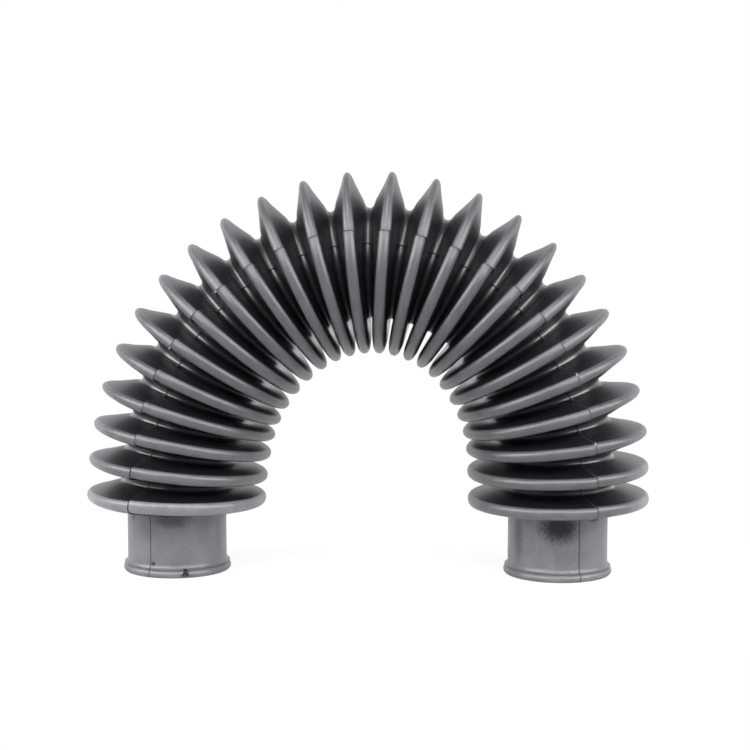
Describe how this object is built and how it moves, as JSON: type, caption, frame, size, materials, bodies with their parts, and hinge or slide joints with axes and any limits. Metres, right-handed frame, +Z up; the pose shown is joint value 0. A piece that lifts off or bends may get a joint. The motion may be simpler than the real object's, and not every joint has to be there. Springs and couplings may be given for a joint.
{
  "type": "bellows boot",
  "caption": "Moulded rubber bellows boot with blunt-edged folds, bent into an upright arch and standing on two clamp cuffs.",
  "frame": {"origin": "on the floor, midway between the axes of the two cuffs", "axes": "+Z up; the arch lies in the XZ plane, with the right cuff towards +X; +Y points to the back"},
  "size_m": [0.1722, 0.055, 0.1221],
  "materials": {
    "moulded_rubber": "satin black moulded rubber"
  },
  "bodies": {
    "root": {"bellows_boot": "moulded_rubber"}
  },
  "joints": []
}
